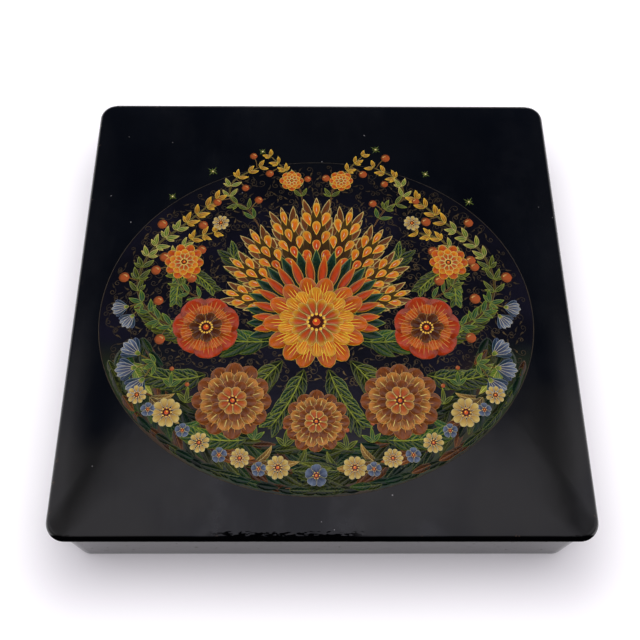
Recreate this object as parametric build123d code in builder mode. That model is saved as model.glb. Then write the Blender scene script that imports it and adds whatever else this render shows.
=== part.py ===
from build123d import *
import os

# Square lacquered papier-mache box with a cushion-topped lid on a pinned barrel hinge.
# Millimetres. +Z is up, the front faces -Y, the hinge runs along X at the back,
# and the origin is the middle of the underside of the base.

# Outline and height
LID_WIDTH = 170.0
LID_DEPTH = 166.0
LID_OVERHANG = 1.8  # how far the lid stands out past the walls, all round
BODY_HEIGHT = 30.6  # underside of the base to the top of the walls
SEAT_GAP = 0.2  # lacquer film between the walls and the closed lid
OVERRUN = 5.0  # how far a cutting solid runs past what it cuts

# Walls and base
WALL_THICKNESS = 4.0
WALL_CORNER_RADIUS = 5.0
WALL_EDGE_ROUNDING = 0.6
BASE_THICKNESS = 3.5
BASE_EDGE_ROUNDING = 0.8

# Lid plate: the top swells from the rim to a crown along a power curve
LID_CORNER_RADIUS = 6.0
LID_EDGE_THICKNESS = 3.2
LID_CROWN = 2.8
LID_TOP_ROUNDING = 2.0
LID_UNDER_ROUNDING = 1.0
CROWN_POWER = 8
CORNER_SPREAD = 0.45  # how fast the corners of the swelling open out, per step inwards
CROWN_SECTION_SHARES = (0.0, 0.04, 0.09, 0.16, 0.26, 0.4, 0.6)
HOLLOW_RISE = 2.2
HOLLOW_MARGIN = 2.0  # flat land between the locating frame and the hollowed underside
HOLLOW_SECTION_SHARES = (0.0, 0.06, 0.14, 0.28, 0.5)

# Locating frame glued under the lid
FRAME_CLEARANCE = 0.5
FRAME_REAR_CLEARANCE = 1.4  # the back of the frame swings past the top of the rear wall
FRAME_THICKNESS = 3.0
FRAME_DEPTH = 4.0
FRAME_EDGE_ROUNDING = 0.6

# Hinge
BARREL_RADIUS = 2.5
BARREL_INSET = 1.0  # hinge axis to the outer face of the rear wall
BARREL_TO_LID = 0.3
BARREL_TO_NOTCH = 0.5
NOTCH_END_MARGIN = 23.2  # outer side face of the walls to the end of the hinge notch
BODY_KNUCKLE_LENGTH = 29.5
KNUCKLE_GAP = 0.3
LID_KNUCKLE_WEB = 3.2  # width of the flat by which the middle knuckle is glued to the lid
PIN_RADIUS = 0.8
PIN_CLEARANCE = 0.05  # in the middle knuckle, which turns on the pin
PIN_END_SINK = 0.4  # the pin stops this far inside each end of the barrel

# Places that follow from the sizes above
BODY_WIDTH = LID_WIDTH - 2 * LID_OVERHANG
BODY_DEPTH = LID_DEPTH - 2 * LID_OVERHANG
ROOM_WIDTH = BODY_WIDTH - 2 * WALL_THICKNESS
ROOM_DEPTH = BODY_DEPTH - 2 * WALL_THICKNESS
ROOM_CORNER_RADIUS = WALL_CORNER_RADIUS - WALL_THICKNESS
LID_UNDERSIDE = BODY_HEIGHT + SEAT_GAP
LID_RIM = LID_UNDERSIDE + LID_EDGE_THICKNESS
REAR_FACE = BODY_DEPTH / 2
AXIS_Y = REAR_FACE - BARREL_INSET
AXIS_Z = LID_UNDERSIDE - BARREL_TO_LID - BARREL_RADIUS
NOTCH_FLOOR = AXIS_Z - BARREL_RADIUS - BARREL_TO_NOTCH
NOTCH_LENGTH = BODY_WIDTH - 2 * NOTCH_END_MARGIN
BARREL_LENGTH = NOTCH_LENGTH - 2 * KNUCKLE_GAP
LID_KNUCKLE_LENGTH = BARREL_LENGTH - 2 * (BODY_KNUCKLE_LENGTH + KNUCKLE_GAP)
FRAME_OUTER_WIDTH = ROOM_WIDTH - 2 * FRAME_CLEARANCE
FRAME_OUTER_DEPTH = ROOM_DEPTH - FRAME_CLEARANCE - FRAME_REAR_CLEARANCE
FRAME_MIDDLE_Y = (FRAME_CLEARANCE - FRAME_REAR_CLEARANCE) / 2
FRAME_OUTER_RADIUS = ROOM_CORNER_RADIUS + FRAME_CLEARANCE
HOLLOW_WIDTH = FRAME_OUTER_WIDTH - 2 * (FRAME_THICKNESS + HOLLOW_MARGIN)
HOLLOW_DEPTH = FRAME_OUTER_DEPTH - 2 * (FRAME_THICKNESS + HOLLOW_MARGIN)


def swelling_sections(width, depth, rise, shares, middle_y, height):
    """Rounded rectangles that step inwards and upwards, for a cushion to be lofted through.

    Each share is how far a section lies in from the edge, of half the shorter side.
    """
    sections = []
    for share in shares:
        inset = share * min(width, depth) / 2
        lift = rise * (1 - (1 - share) ** CROWN_POWER)
        radius = LID_CORNER_RADIUS + CORNER_SPREAD * inset
        with BuildSketch(Plane.XY.offset(height + lift)) as section:
            with Locations((0, middle_y)):
                RectangleRounded(width - 2 * inset, depth - 2 * inset, radius)
        sections.append(section.sketch.face())
    return sections


def save(piece, name):
    """Labels a finished piece and writes it as its own file."""
    piece.part.label = name
    export_step(piece.part, f"parts/{name}.step")


os.makedirs("parts", exist_ok=True)

# Base: a flat board under the walls, with its lower edge eased
with BuildPart() as base_plate:
    with BuildSketch():
        RectangleRounded(BODY_WIDTH, BODY_DEPTH, WALL_CORNER_RADIUS)
    extrude(amount=BASE_THICKNESS)
    fillet(base_plate.faces().sort_by(Axis.Z)[0].edges(), radius=BASE_EDGE_ROUNDING)
save(base_plate, "base_plate")

# Walls: one wound tube, notched along the top of the back for the hinge
with BuildPart() as body_walls:
    with BuildSketch(Plane.XY.offset(BASE_THICKNESS)):
        RectangleRounded(BODY_WIDTH, BODY_DEPTH, WALL_CORNER_RADIUS)
        RectangleRounded(ROOM_WIDTH, ROOM_DEPTH, ROOM_CORNER_RADIUS, mode=Mode.SUBTRACT)
    extrude(amount=BODY_HEIGHT - BASE_THICKNESS)
    fillet(body_walls.faces().sort_by(Axis.Z)[-1].outer_wire().edges(), radius=WALL_EDGE_ROUNDING)
    with BuildSketch(Plane.XY.offset(NOTCH_FLOOR)):
        with Locations((0, REAR_FACE)):
            Rectangle(NOTCH_LENGTH, 2 * (WALL_THICKNESS + OVERRUN))
    extrude(amount=BODY_HEIGHT - NOTCH_FLOOR + OVERRUN, mode=Mode.SUBTRACT)
save(body_walls, "body_walls")

# Lid plate: a board with an eased rim, a swelling top and a hollowed underside
with BuildPart() as lid_plate:
    with BuildSketch(Plane.XY.offset(LID_UNDERSIDE)):
        RectangleRounded(LID_WIDTH, LID_DEPTH, LID_CORNER_RADIUS)
    extrude(amount=LID_EDGE_THICKNESS)
    loft(swelling_sections(LID_WIDTH, LID_DEPTH, LID_CROWN, CROWN_SECTION_SHARES, 0, LID_RIM))
    rim_edges = lid_plate.edges().filter_by_position(Axis.Z, LID_RIM, LID_RIM)
    fillet(rim_edges, radius=LID_TOP_ROUNDING)
    fillet(lid_plate.faces().sort_by(Axis.Z)[0].outer_wire().edges(), radius=LID_UNDER_ROUNDING)
    hollow = swelling_sections(
        HOLLOW_WIDTH,
        HOLLOW_DEPTH,
        HOLLOW_RISE,
        HOLLOW_SECTION_SHARES,
        FRAME_MIDDLE_Y,
        LID_UNDERSIDE,
    )
    loft(hollow, mode=Mode.SUBTRACT)
save(lid_plate, "lid_plate")

# Locating frame: a shallow ring under the lid that drops inside the walls
with BuildPart() as lid_locating_frame:
    with BuildSketch(Plane.XY.offset(LID_UNDERSIDE - FRAME_DEPTH)):
        with Locations((0, FRAME_MIDDLE_Y)):
            RectangleRounded(FRAME_OUTER_WIDTH, FRAME_OUTER_DEPTH, FRAME_OUTER_RADIUS)
            Rectangle(
                FRAME_OUTER_WIDTH - 2 * FRAME_THICKNESS,
                FRAME_OUTER_DEPTH - 2 * FRAME_THICKNESS,
                mode=Mode.SUBTRACT,
            )
    extrude(amount=FRAME_DEPTH)
    lower_rim = lid_locating_frame.faces().sort_by(Axis.Z)[0]
    fillet(lower_rim.outer_wire().edges(), radius=FRAME_EDGE_ROUNDING)
save(lid_locating_frame, "lid_locating_frame")

# Hinge knuckles: two glued on feet in the notch, one glued by a web under the lid
for knuckle_name, knuckle_start in {
    "hinge_knuckle_left": -BARREL_LENGTH / 2,
    "hinge_knuckle_right": BARREL_LENGTH / 2 - BODY_KNUCKLE_LENGTH,
}.items():
    with BuildPart() as body_knuckle:
        with BuildSketch(Plane.YZ.offset(knuckle_start)):
            with Locations((AXIS_Y, AXIS_Z)):
                Circle(BARREL_RADIUS)
            with Locations((REAR_FACE - WALL_THICKNESS / 2, (AXIS_Z + NOTCH_FLOOR) / 2)):
                Rectangle(WALL_THICKNESS, AXIS_Z - NOTCH_FLOOR)
        extrude(amount=BODY_KNUCKLE_LENGTH)
        with BuildSketch(Plane.YZ.offset(knuckle_start)):
            with Locations((AXIS_Y, AXIS_Z)):
                Circle(PIN_RADIUS)
        extrude(amount=BODY_KNUCKLE_LENGTH, mode=Mode.SUBTRACT)
    save(body_knuckle, knuckle_name)

with BuildPart() as hinge_knuckle_lid:
    with BuildSketch(Plane.YZ.offset(-LID_KNUCKLE_LENGTH / 2)):
        with Locations((AXIS_Y, AXIS_Z)):
            Circle(BARREL_RADIUS)
        with Locations((AXIS_Y, (AXIS_Z + LID_UNDERSIDE) / 2)):
            Rectangle(LID_KNUCKLE_WEB, LID_UNDERSIDE - AXIS_Z)
    extrude(amount=LID_KNUCKLE_LENGTH)
    with BuildSketch(Plane.YZ.offset(-LID_KNUCKLE_LENGTH / 2)):
        with Locations((AXIS_Y, AXIS_Z)):
            Circle(PIN_RADIUS + PIN_CLEARANCE)
    extrude(amount=LID_KNUCKLE_LENGTH, mode=Mode.SUBTRACT)
save(hinge_knuckle_lid, "hinge_knuckle_lid")

# Pin: a straight wire, tight in the two body knuckles and free in the middle one
with BuildPart() as hinge_pin:
    with BuildSketch(Plane.YZ.offset(PIN_END_SINK - BARREL_LENGTH / 2)):
        with Locations((AXIS_Y, AXIS_Z)):
            Circle(PIN_RADIUS)
    extrude(amount=BARREL_LENGTH - 2 * PIN_END_SINK)
save(hinge_pin, "hinge_pin")
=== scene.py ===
"""Dresses a square lacquered papier-mache box with its finishes and a round folk-ornament painting.

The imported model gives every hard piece. This script adds the paint on the lid, as thin strokes that
follow the lid's swelling top, and gives each piece its finish. Ornament sizes are millimetres, measured
from the middle of the painted field, and everything handed to Blender is in metres.
"""
from __future__ import annotations

import logging
import math
import random
from dataclasses import dataclass
from enum import Enum
from typing import Any, Sequence

import bmesh
import bpy
import numpy as np
from mathutils import Matrix, Vector
from mathutils.bvhtree import BVHTree


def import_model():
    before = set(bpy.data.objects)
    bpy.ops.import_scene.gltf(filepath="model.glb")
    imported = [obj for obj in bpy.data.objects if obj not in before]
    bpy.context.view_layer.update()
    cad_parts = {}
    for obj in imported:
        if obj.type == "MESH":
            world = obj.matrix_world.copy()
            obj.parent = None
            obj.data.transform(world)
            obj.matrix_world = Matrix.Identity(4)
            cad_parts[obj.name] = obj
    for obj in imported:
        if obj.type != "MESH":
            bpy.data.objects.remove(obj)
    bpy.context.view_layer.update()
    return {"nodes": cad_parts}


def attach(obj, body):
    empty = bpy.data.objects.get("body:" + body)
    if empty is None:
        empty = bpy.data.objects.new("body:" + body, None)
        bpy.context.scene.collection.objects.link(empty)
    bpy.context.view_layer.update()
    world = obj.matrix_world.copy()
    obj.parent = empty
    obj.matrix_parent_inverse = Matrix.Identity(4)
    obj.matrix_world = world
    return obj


LOG = logging.getLogger("lacquer_box")
MM = 0.001
FINE_RELIEF = 0.01 * MM
Colour = tuple[float, float, float]
Pair = tuple[float, float]


def linear(*screen: float) -> Colour:
    """Turns a colour as it looks on screen into scene light.

    Args:
        *screen: Its red, green and blue channels, 0 to 255.

    Returns:
        The colour in linear light, 0 to 1 a channel.
    """
    shares = [value / 255 for value in screen]
    return tuple(s / 12.92 if s <= 0.04045 else ((s + 0.055) / 1.055) ** 2.4 for s in shares)


def add_object(name: str, data: bpy.types.ID) -> bpy.types.Object:
    """Puts a mesh, lamp or camera into the scene.

    Args:
        name: The object's name.
        data: What it shows.

    Returns:
        The new object.
    """
    made = bpy.data.objects.new(name, data)
    bpy.context.scene.collection.objects.link(made)
    return made


class Number:
    """A number flowing between shader nodes, so that shader maths reads as plain Python."""

    def __init__(self, tree: NodeTree, socket: bpy.types.NodeSocket) -> None:
        """Wraps an output socket of a node in the given tree."""
        self.tree = tree
        self.socket = socket

    def op(self, operation: str, *others: Any, clamp: bool = False) -> Number:
        """Adds one Math node with this number as its first input.

        Args:
            operation: The Math node's operation.
            *others: Its further inputs, numbers or plain values.
            clamp: Whether the result is held between 0 and 1.

        Returns:
            The node's result.
        """
        inputs = dict(enumerate((self, *others)))
        made = self.tree.node("Math", inputs, operation=operation, use_clamp=clamp)
        return Number(self.tree, made.outputs[0])

    def __add__(self, other: Any) -> Number:
        """Sum."""
        return self.op("ADD", other)

    __radd__ = __add__

    def __mul__(self, other: Any) -> Number:
        """Product."""
        return self.op("MULTIPLY", other)

    __rmul__ = __mul__

    def __sub__(self, other: Any) -> Number:
        """Difference."""
        return self.op("SUBTRACT", other)

    def __rsub__(self, other: Any) -> Number:
        """Difference from a plain value."""
        return (self * -1.0) + other

    def __truediv__(self, other: Any) -> Number:
        """Quotient."""
        return self.op("DIVIDE", other)

    def __abs__(self) -> Number:
        """Size without its sign."""
        return self.op("ABSOLUTE")

    def step(self, low: float, high: float) -> Number:
        """Rises smoothly from 0 at low to 1 at high, or falls where low is the larger."""
        share = ((self - low) / (high - low)).op("ADD", 0.0, clamp=True)
        return share * share * (3.0 - share * 2.0)


class NodeTree:
    """A material's or world's nodes, filled in by short calls."""

    DEAD_BLACK = (0.0008, 0.0008, 0.0011)

    def __init__(self, owner: bpy.types.Material | bpy.types.World) -> None:
        """Empties the owner's node tree.

        Args:
            owner: The material or world that the nodes belong to.
        """
        owner.use_nodes = True
        self.tree = owner.node_tree
        self.tree.nodes.clear()

    def node(self, kind: str, inputs: dict[Any, Any] | None = None, **settings: Any) -> bpy.types.Node:
        """Adds a node.

        Args:
            kind: The node's type name, without the ShaderNode that it starts with.
            inputs: Values or links of its sockets, by name or number.
            **settings: Properties of the node, set before its inputs.

        Returns:
            The new node.
        """
        made = self.tree.nodes.new("ShaderNode" + kind)
        for name, value in settings.items():
            setattr(made, name, value)
        for name, value in (inputs or {}).items():
            socket = made.inputs[name]
            if isinstance(value, Number):
                value = value.socket
            if isinstance(value, bpy.types.NodeSocket):
                self.tree.links.new(value, socket)
            else:
                socket.default_value = (*value, 1.0) if socket.type == "RGBA" else value
        return made

    def position(self) -> bpy.types.NodeSocket:
        """The point on the piece, in metres, which stays put as the piece moves."""
        return self.node("TexCoord").outputs["Object"]

    def axes(self, vector: bpy.types.NodeSocket) -> tuple[Number, Number, Number]:
        """Splits a vector into its three numbers."""
        parts = self.node("SeparateXYZ", {0: vector})
        return tuple(Number(self, parts.outputs[i]) for i in range(3))

    def place(self) -> tuple[Number, Number, Number]:
        """The point on the piece as three numbers, in millimetres."""
        return tuple(axis / MM for axis in self.axes(self.position()))

    def noise(self, scale: float, detail: float, vector: Any = None) -> Number:
        """Adds cloudy noise.

        Args:
            scale: How many blobs it has to a metre.
            detail: How many finer layers lie over them.
            vector: Where it is read: the point on the piece where this is None.

        Returns:
            The noise, 0 to 1.
        """
        vector = self.position() if vector is None else vector
        made = self.node("TexNoise", {"Vector": vector, "Scale": scale, "Detail": detail})
        return Number(self, made.outputs["Fac"])

    def drawn_noise(self, detail: float, *scales: float) -> Number:
        """Noise drawn out by its own number of blobs to a metre along x, y and z."""
        stretched = self.node("Mapping", {"Vector": self.position(), "Scale": scales})
        return self.noise(1.0, detail, stretched.outputs["Vector"])

    def speckle(self, scale: float, size: float) -> Number:
        """Scattered small dots: 1 inside a dot and 0 outside."""
        cells = self.node("TexVoronoi", {"Vector": self.position(), "Scale": scale})
        return Number(self, cells.outputs["Distance"]).step(size, size * 0.6)

    def attribute(self, name: str) -> Number:
        """A number stored on the piece's points."""
        return Number(self, self.node("Attribute", attribute_name=name).outputs["Fac"])

    def tint(self, name: str) -> bpy.types.NodeSocket:
        """A colour stored on the piece's points."""
        return self.node("Attribute", attribute_name=name).outputs["Color"]

    def mix(self, factor: Any, first: Any, second: Any) -> bpy.types.NodeSocket:
        """Blends two colours, a factor of 0 giving the first and 1 the second."""
        return self.node("Mix", {0: factor, 6: first, 7: second}, data_type="RGBA").outputs[2]

    def bump(self, height: Number, depth: float, strength: float) -> bpy.types.NodeSocket:
        """Turns a height of 0 to 1, so many metres deep, into a normal."""
        inputs = {"Height": height, "Distance": depth, "Strength": strength}
        return self.node("Bump", inputs).outputs["Normal"]

    def surface(self, matt: Number | None = None, **inputs: Any) -> None:
        """Ends a material in a Principled shader.

        Args:
            matt: Where the surface has no shine at all, if anywhere: 1 there and 0 elsewhere.
            **inputs: The shader's sockets, named with underscores for spaces.
        """
        named = {name.replace("_", " "): value for name, value in inputs.items()}
        made = self.node("BsdfPrincipled", named).outputs[0]
        if matt is not None:
            dead = {"Base Color": self.DEAD_BLACK, "Roughness": 0.9, "Specular IOR Level": 0.0}
            dull = self.node("BsdfPrincipled", dead).outputs[0]
            made = self.node("MixShader", {0: matt, 1: made, 2: dull}).outputs[0]
        self.node("OutputMaterial", {"Surface": made})


@dataclass(frozen=True)
class PhotoCamera:
    """The photograph's camera, as angles, distance and pan from the middle of the box's underside."""

    elevation: float = 64.734
    yaw: float = 0.9134
    roll: float = 0.9211
    distance: float = 0.321682
    pan_x: float = -0.000522
    pan_y: float = 0.006271
    focal_px: float = 842.63
    image_px: float = 640.0
    sensor_mm: float = 36.0

    def build(self) -> None:
        """Makes the camera and gives it to the scene."""
        tilt, yaw, roll = (math.radians(a) for a in (self.elevation, self.yaw, self.roll))
        ahead = Vector((math.sin(yaw) * math.cos(tilt), math.cos(yaw) * math.cos(tilt), -math.sin(tilt)))
        level = ahead.cross(Vector((0, 0, 1))).normalized()
        above = level.cross(ahead)
        right = level * math.cos(roll) + above * math.sin(roll)
        above = above * math.cos(roll) - level * math.sin(roll)
        place = right * self.pan_x + above * self.pan_y - ahead * self.distance
        data = bpy.data.cameras.new("photo_camera")
        data.sensor_width = self.sensor_mm
        data.lens = self.sensor_mm * self.focal_px / self.image_px
        data.clip_start = self.distance / 100
        camera = add_object("photo_camera", data)
        turned = Matrix((right, above, -ahead)).transposed().to_4x4()
        camera.matrix_world = Matrix.Translation(place) @ turned
        bpy.context.scene.camera = camera


@dataclass(frozen=True)
class Studio:
    """A white table in a dim room under a wide soft lamp, with a pale ceiling patch and side panels.

    Places on the ceiling are shares of its height, across and back from the box.
    """

    floor_side: float = 8.0
    floor_drop: float = 0.0001
    floor_colour: Colour = (0.855, 0.825, 0.850)
    halo_from: float = 0.080
    near_glow: float = 0.38
    near_reach: float = 0.040
    far_glow: float = 0.60
    far_reach: Pair = (0.15, 1.10)
    lamp_size: float = 1.5
    lamp_height: float = 1.2
    lamp_back: float = 0.06
    lamp_radiance: float = 2.35
    horizon: float = 0.02
    patch: Colour = (0.735, 0.715, 0.80)
    patch_side: Pair = (0.44, 0.20)
    patch_near: Pair = (-0.95, -0.55)
    patch_far: Pair = (0.42, 0.20)
    spill_left: Pair = (0.28, 0.05)
    spill_right: Pair = (0.45, 0.25)
    spill_middle: Pair = (-0.05, 0.05)
    spill_width: float = 0.08
    panel: Colour = (0.77, 0.75, 0.82)
    panel_side: Pair = (0.40, 0.84)
    panel_near: Pair = (-0.75, -0.25)
    panel_far: Pair = (0.66, 0.36)
    panel_rest: float = 0.05
    lean: Pair = (0.28, 0.42)
    lean_width: float = 0.09
    taper_from: float = 0.9
    taper: float = 0.3
    front: Colour = (0.012, 0.012, 0.014)
    behind: Colour = (0.030, 0.040, 0.068)
    behind_from: Pair = (0.0, 0.35)
    wall: Colour = (0.94, 0.94, 0.95)
    wall_height: Pair = (0.30, 0.13)

    def lamp(self) -> None:
        """Hangs the wide soft lamp over the box, out of sight of its polish."""
        data = bpy.data.lights.new("ceiling_lamp", "AREA")
        data.shape = "DISK"
        data.size = self.lamp_size
        data.energy = self.lamp_radiance * math.pi * math.pi * self.lamp_size ** 2 / 4
        lamp = add_object("ceiling_lamp", data)
        lamp.location = (0, self.lamp_back, self.lamp_height)
        lamp.visible_glossy = False

    def floor(self) -> None:
        """Lays the white table, which glows for the eye and for polish alone; the glow fades out towards the
        box, a painted shade that deepens its shadow there.
        """
        mesh = bpy.data.meshes.new("table")
        shape = bmesh.new()
        bmesh.ops.create_grid(shape, x_segments=1, y_segments=1, size=self.floor_side / 2)
        bmesh.ops.translate(shape, verts=shape.verts, vec=(0, 0, -self.floor_drop))
        shape.to_mesh(mesh)
        shape.free()
        material = bpy.data.materials.new("white_table")
        mesh.materials.append(material)
        nodes = NodeTree(material)
        path = nodes.node("LightPath")
        seen = Number(nodes, path.outputs["Is Camera Ray"])
        for ray in ("Is Glossy Ray", "Is Transmission Ray"):
            seen = seen + Number(nodes, path.outputs[ray])
        x, y, _ = nodes.axes(nodes.position())
        aside, along = ((abs(axis) - self.halo_from).op("MAXIMUM", 0.0) for axis in (x, y))
        away = (aside * aside + along * along).op("SQRT")
        # Painted shade: the glow is left off the table next to the box and rises away from it, so the shadow
        # round the box, and its reflection in the walls, is darker than the lamp alone makes it.
        halo = away.step(0.0, self.near_reach) * self.near_glow + away.step(*self.far_reach) * self.far_glow
        matt = nodes.node("BsdfDiffuse", {"Color": self.floor_colour})
        glow = nodes.node("Emission", {"Strength": seen * halo})
        both = nodes.node("AddShader", {0: matt.outputs[0], 1: glow.outputs[0]})
        nodes.node("OutputMaterial", {"Surface": both.outputs[0]})
        add_object("table", mesh)

    def sky(self) -> None:
        """Makes the room: pale low walls, then dim, with a pale patch overhead and pale side panels."""
        world = bpy.data.worlds.new("room")
        bpy.context.scene.world = world
        nodes = NodeTree(world)
        x, y, z = nodes.axes(nodes.node("TexCoord").outputs["Generated"])
        height = z.op("MAXIMUM", self.horizon)
        across, back = x / height, y / height
        left, right = back.step(*self.spill_left), back.step(*self.spill_right)
        spill = (left + (right - left) * across.step(*self.spill_middle)) * self.spill_width
        patch = (abs(across) - spill).step(*self.patch_side)
        patch = patch * back.step(*self.patch_near) * back.step(*self.patch_far)
        panel = (abs(across) - back.step(*self.lean) * self.lean_width).step(*self.panel_side)
        beside = back - (abs(across) - self.taper_from).op("MAXIMUM", 0.0) * self.taper
        fade = beside.step(*self.panel_far) * (1 - self.panel_rest) + self.panel_rest
        lit = nodes.mix(y.step(*self.behind_from), self.front, self.behind)
        lit = nodes.mix(panel * back.step(*self.panel_near) * fade, lit, self.panel)
        lit = nodes.mix(patch, lit, self.patch)
        lit = nodes.mix(z.step(*self.wall_height), lit, self.wall)
        shade = nodes.node("Background", {"Color": lit, "Strength": 1.0})
        nodes.node("OutputWorld", {"Surface": shade.outputs[0]})

    def build(self) -> None:
        """Sets up the whole studio."""
        bpy.context.scene.view_settings.view_transform = "Standard"
        self.lamp()
        self.floor()
        self.sky()


class Finish:
    """A procedural finish that is made once and then shared."""

    name = "finish"

    def nodes(self, tree: NodeTree) -> None:
        """Fills the material's node tree."""
        raise NotImplementedError

    def build(self) -> bpy.types.Material:
        """Makes the material, or finds it where it is already made.

        Returns:
            The material.
        """
        made = bpy.data.materials.get(self.name)
        if made is None:
            made = bpy.data.materials.new(self.name)
            self.nodes(NodeTree(made))
        return made


@dataclass(frozen=True)
class PaintedField:
    """The oval on the lid that holds the painting, in millimetres on the lid."""

    x: float = -2.0
    y: float = -8.2
    half_width: float = 74.0
    half_depth: float = 62.5

    def share(self, x: Number, y: Number) -> Number:
        """Says how far out a point of the lid lies.

        Args:
            x: The point's place across the lid.
            y: Its place along the lid's depth.

        Returns:
            0 in the field's middle and 1 on its edge.
        """
        across = (x - self.x) / self.half_width
        back = (y - self.y) / self.half_depth
        return (across * across + back * back).op("SQRT")

    def point(self, angle: float, share: float) -> np.ndarray:
        """The point at an angle in degrees and a share of the way out, from the field's middle."""
        turn = math.radians(angle)
        return np.array((self.half_width * share * math.cos(turn), self.half_depth * share * math.sin(turn)))


@dataclass(frozen=True)
class CaseLacquer(Finish):
    """Polished black lacquer, cloudy and worn at its rims, and cinnabar red in the room inside."""

    name: str = "case_lacquer_finish"
    coats: Colour = (0.0008, 0.0010, 0.0019)
    cloud: Colour = (0.0017, 0.0021, 0.0035)
    haze: Colour = (0.0112, 0.0114, 0.0136)
    warm: Colour = (0.0110, 0.0104, 0.0094)
    worn: Colour = (0.040, 0.026, 0.018)
    dust: Colour = (0.24, 0.23, 0.23)
    roughness: float = 0.10
    ior: float = 1.34
    wave_depth: float = 0.00012
    reach: Pair = (83.2, 81.2)
    rim: Pair = (0.972, 0.988)
    red: Colour = linear(174, 28, 19)
    dark_red: Colour = linear(163, 23, 17)
    scuffed: Colour = linear(122, 20, 16)
    red_side: Pair = (79.82, 79.58)
    red_end: Pair = (77.82, 77.58)
    red_height: Pair = (2.88, 3.12)
    red_middle: float = 0.0

    def outward(self, tree: NodeTree) -> Number:
        """Says how near a point lies to the piece's sides, which are at 1."""
        x, y, _ = tree.place()
        return (abs(x) / self.reach[0]).op("MAXIMUM", abs(y) / self.reach[1])

    def inside(self, tree: NodeTree) -> Number:
        """Says where the red is: 1 on its faces and 0 outside."""
        x, y, z = tree.place()
        return (abs(x).step(*self.red_side) * abs(y - self.red_middle).step(*self.red_end)
                * z.step(*self.red_height))

    def handled(self, tree: NodeTree) -> Number | float:
        """Says where hands have left haze on the polish: 1 there and 0 elsewhere."""
        return 0.4

    def matt(self, tree: NodeTree) -> Number | None:
        """Says where the coats were left unpolished, as 1, or gives None where they all shine."""
        return None

    def ground(self, tree: NodeTree, colour: bpy.types.NodeSocket) -> bpy.types.NodeSocket:
        """Paints the inside red, a little uneven as brushed lacquer is, and scuffed by what it held.

        Args:
            tree: The material's nodes.
            colour: The coats' colour so far.

        Returns:
            The colour with the red in it.
        """
        brushed = tree.drawn_noise(3, 130, 26, 60).step(0.25, 0.80) * tree.noise(22, 2).step(0.30, 0.60)
        red = tree.mix(brushed, self.dark_red, self.red)
        scuffs = tree.noise(190, 5).step(0.60, 0.72) * tree.noise(26, 2).step(0.45, 0.62)
        return tree.mix(self.inside(tree), colour, tree.mix(scuffs * 0.5, red, self.scuffed))

    def nodes(self, tree: NodeTree) -> None:
        """Lays cloudy coats, then haze, specks and worn rims, then smears and scratches in the gloss.

        Args:
            tree: The material's nodes.
        """
        clouds = tree.noise(28, 4).step(0.35, 0.70)
        smear = tree.drawn_noise(4, 48, 15, 30).step(0.44, 0.68)
        scratches = tree.drawn_noise(2, 760, 36, 60).step(0.66, 0.76) * tree.noise(24, 3).step(0.46, 0.66)
        edge = self.outward(tree).step(*self.rim)
        handled = self.handled(tree)
        mottle = tree.noise(240, 5).step(0.32, 0.68) + 0.40
        chips = tree.noise(420, 4).step(0.655, 0.70) * edge
        specks = tree.speckle(150, 0.045) * tree.noise(31, 2).step(0.46, 0.54)
        colour = tree.mix(clouds, self.coats, self.cloud)
        colour = tree.mix(smear * mottle * handled, colour, self.haze)
        colour = tree.mix(tree.noise(19, 3).step(0.48, 0.64) * handled * 0.8, colour, self.warm)
        colour = self.ground(tree, colour)
        colour = tree.mix(chips * 0.8, colour, self.worn)
        colour = tree.mix(specks * 0.8, colour, self.dust)
        gloss = smear * 0.07 + tree.noise(420, 2) * 0.03 + clouds * 0.015
        gloss = gloss + chips * 0.25 + scratches * 0.10 - edge * 0.03 + self.roughness
        wave = tree.noise(55, 2) * 0.7 + tree.noise(330, 3) * (edge * 0.10 + 0.18)
        wave = wave + specks * 0.15 - chips * 0.08 - scratches * 0.01
        tree.surface(self.matt(tree), Base_Color=colour, Roughness=gloss, IOR=self.ior,
                     Normal=tree.bump(wave, self.wave_depth, 0.6))


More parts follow.
